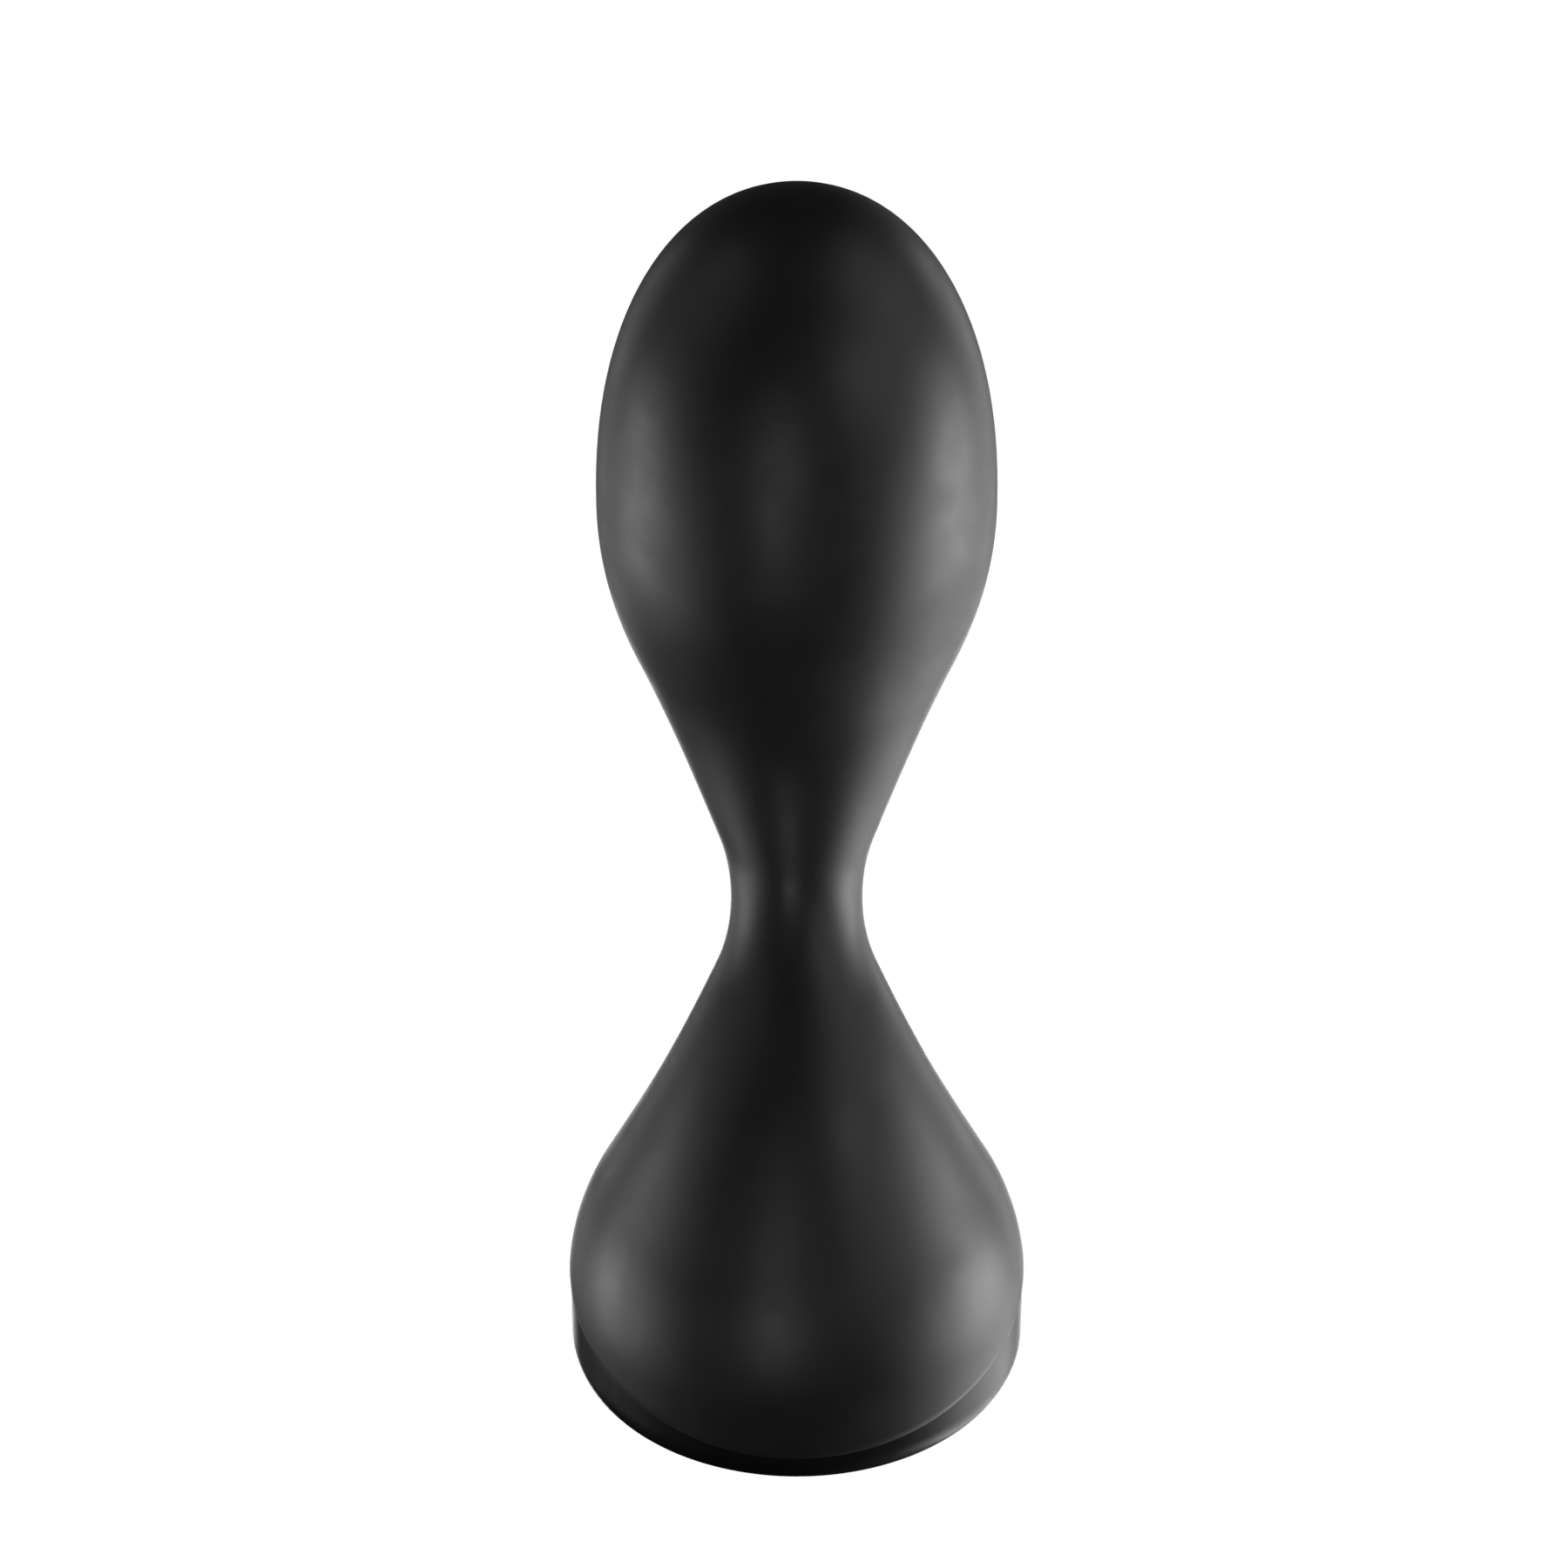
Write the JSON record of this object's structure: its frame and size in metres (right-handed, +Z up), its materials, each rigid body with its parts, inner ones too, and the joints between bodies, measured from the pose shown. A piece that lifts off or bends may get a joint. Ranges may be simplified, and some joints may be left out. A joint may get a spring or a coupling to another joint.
{
  "type": "hand-held massager",
  "caption": "Palm-size rechargeable massager: egg-shaped vibrating head, narrow waist and flared base in black silicone, on a flat rigid cap.",
  "frame": {"origin": "centre of the flat sole of the base cap, on the surface that it stands on", "axes": "+Z up from the sole to the crown; the body leans back towards +Y; the front, which the head leans away from, faces -Y; X is the left-right symmetric direction of the outside"},
  "size_m": [0.0418, 0.0566, 0.1082],
  "materials": {
    "skin": "matte black silicone, soft-touch, faint velvet sheen",
    "cap": "black satin moulded ABS with a rounded edge",
    "button": "dark grey satin moulded ABS",
    "seal": "black nitrile rubber",
    "inner_plastic": "grey moulded ABS",
    "board": "green solder-masked glass-epoxy board",
    "chip": "black moulded component body",
    "capacitor": "plain aluminium can",
    "lens": "clear moulded light pipe",
    "contact": "gold-plated contact",
    "magnet": "nickel-plated magnet",
    "cell_foil": "silver laminate pouch",
    "foam": "black closed-cell foam",
    "red_wire": "red insulated wire",
    "black_wire": "black insulated wire",
    "steel": "plain steel",
    "lamination": "stacked steel laminations",
    "brass": "brass"
  },
  "bodies": {
    "housing": {"silicone_skin": "skin", "base_cap": "cap", "base_seal": "seal", "core_left": "inner_plastic", "core_right": "inner_plastic", "power_button_seal": "seal", "program_button_seal": "seal", "power_switch": "chip", "program_switch": "chip", "circuit_board": "board", "microcontroller": "chip", "charge_chip": "chip", "motor_driver": "chip", "motor_connector": "chip", "battery_connector": "chip", "inductor": "chip", "capacitor_1": "capacitor", "capacitor_2": "capacitor", "indicator_led": "lens", "light_pipe": "lens", "charge_contact_1": "contact", "charge_contact_2": "contact", "charge_magnet_1": "magnet", "charge_magnet_2": "magnet", "battery_tray": "inner_plastic", "battery_cell": "cell_foil", "battery_pad": "foam", "battery_lead_1": "red_wire", "battery_lead_2": "black_wire", "motor_lead_1": "red_wire", "motor_lead_2": "black_wire", "motor_cup": "inner_plastic", "motor_sleeve": "seal", "motor_can": "steel", "motor_end_cap": "chip", "motor_bush": "brass", "motor_magnet_1": "magnet", "motor_magnet_2": "magnet", "motor_terminal_1": "brass", "motor_terminal_2": "brass", "core_screw_1": "steel", "core_screw_2": "steel", "core_screw_3": "steel", "core_screw_4": "steel", "board_screw_1": "steel", "board_screw_2": "steel", "board_screw_3": "steel"},
    "rotor": {"motor_shaft": "steel", "motor_armature": "lamination", "motor_commutator": "brass", "eccentric_weight": "steel"},
    "power_button": {"power_button": "button"},
    "program_button": {"program_button": "button"},
    "power_plunger": {"power_plunger": "steel"},
    "program_plunger": {"program_plunger": "steel"}
  },
  "joints": [
    {"name": "rotor_spin", "type": "hinge", "parent": "housing", "child": "rotor", "pos_m": [0, 0.018, 0.078], "axis": [0, 0, 1], "continuous": true},
    {"name": "power_button_press", "type": "slide", "parent": "housing", "child": "power_button", "axis": [0, 0, 1], "range_m": [0, 0.0005], "stiffness_N_per_m": 3000},
    {"name": "power_plunger_travel", "type": "slide", "parent": "housing", "child": "power_plunger", "axis": [0, 0, 1], "range_m": [0, 0.0005]},
    {"name": "program_button_press", "type": "slide", "parent": "housing", "child": "program_button", "axis": [0, 0, 1], "range_m": [0, 0.0005], "stiffness_N_per_m": 3000},
    {"name": "program_plunger_travel", "type": "slide", "parent": "housing", "child": "program_plunger", "axis": [0, 0, 1], "range_m": [0, 0.0005]}
  ],
  "couplings": [
    {"joint": "power_plunger_travel", "follows": "power_button_press", "ratio": 1},
    {"joint": "program_plunger_travel", "follows": "program_button_press", "ratio": 1}
  ]
}
